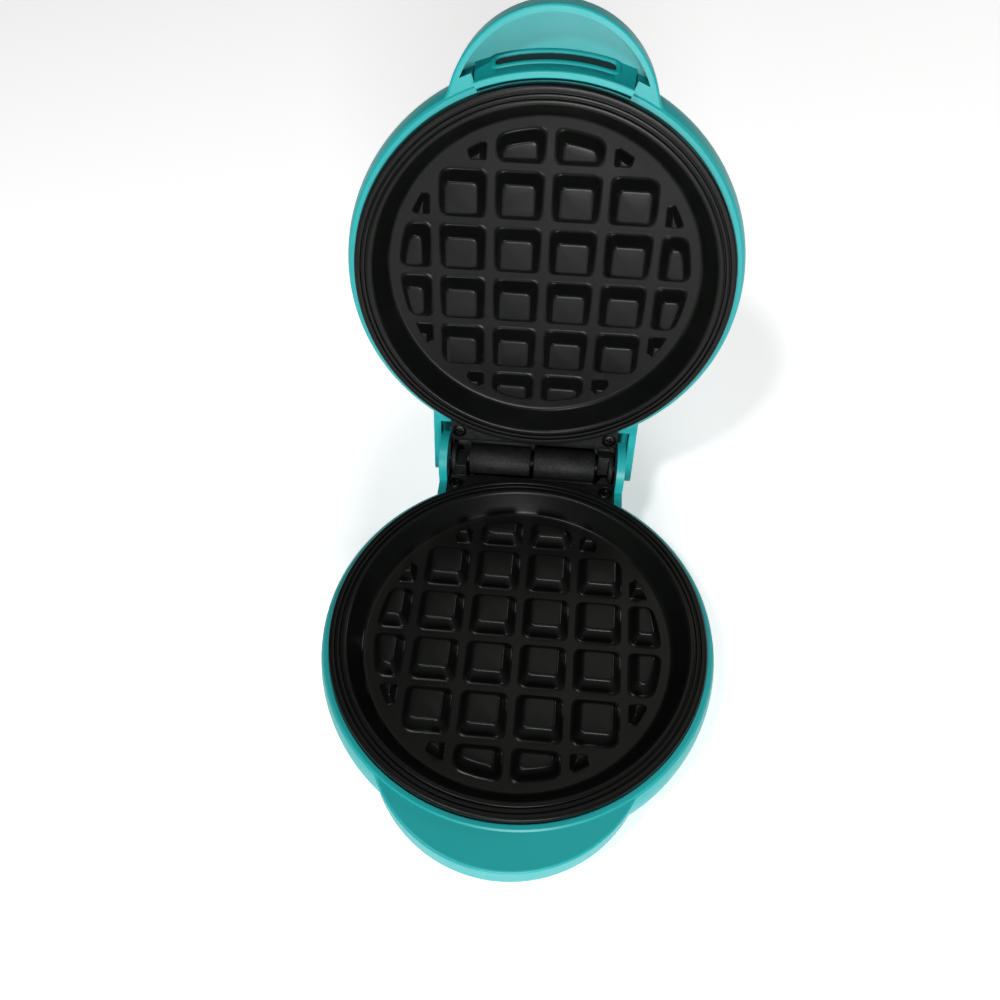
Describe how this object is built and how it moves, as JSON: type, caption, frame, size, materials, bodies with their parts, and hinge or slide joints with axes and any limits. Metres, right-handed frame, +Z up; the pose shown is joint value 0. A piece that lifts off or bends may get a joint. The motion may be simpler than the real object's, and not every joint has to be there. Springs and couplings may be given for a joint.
{
  "type": "mini waffle maker",
  "caption": "Small round electric waffle maker standing open: hinged lid with a hollow thumb handle, twin stub-grid cooking plates, feet and a handle shelf on the base.",
  "frame": {"origin": "on the table under the middle of the lower cooking plate", "axes": "+Z up, +Y from the handles to the hinge, +X to the right seen from the handles"},
  "size_m": [0.127, 0.1992, 0.1778],
  "materials": {
    "housing": "teal moulded plastic, satin to gloss",
    "cover": "black moulded plastic, fine texture",
    "foot": "soft black rubber",
    "plate": "cast aluminium with a black satin non-stick coat",
    "pin": "plain steel pin",
    "screw_black": "black oxide cross-head screw",
    "sheet_steel": "zinc-plated steel",
    "element": "dull steel heater sheath",
    "ceramic_part": "plain off-white ceramic",
    "gland": "black nylon bushing",
    "lens": "clear red lens"
  },
  "bodies": {
    "base": {"base_housing": "housing", "bottom_cover": "cover", "cover_screws": "sheet_steel", "foot_front_left": "foot", "foot_front_right": "foot", "foot_rear_left": "foot", "foot_rear_right": "foot", "lower_plate": "plate", "lower_plate_screws": "screw_black", "lower_element": "element", "lower_element_clamps": "sheet_steel", "lower_clamp_screws": "sheet_steel", "lower_heat_shield": "sheet_steel", "lower_shield_screws": "sheet_steel", "thermostat": "ceramic_part", "thermal_fuse": "sheet_steel", "fuse_clip": "sheet_steel", "terminal_block": "ceramic_part", "cord_gland": "gland", "hinge_pin": "pin"},
    "lid": {"lid_shell": "housing", "handle_insert": "housing", "upper_plate": "plate", "upper_plate_screws": "screw_black", "upper_element": "element", "upper_element_clamps": "sheet_steel", "upper_clamp_screws": "sheet_steel", "upper_heat_shield": "sheet_steel", "upper_shield_screws": "sheet_steel", "indicator_lens": "lens"}
  },
  "joints": [
    {"name": "lid_hinge", "type": "hinge", "parent": "base", "child": "lid", "pos_m": [0, 0.0677, 0.037], "axis": [1, 0, 0], "range_deg": [0, 105.4]}
  ]
}
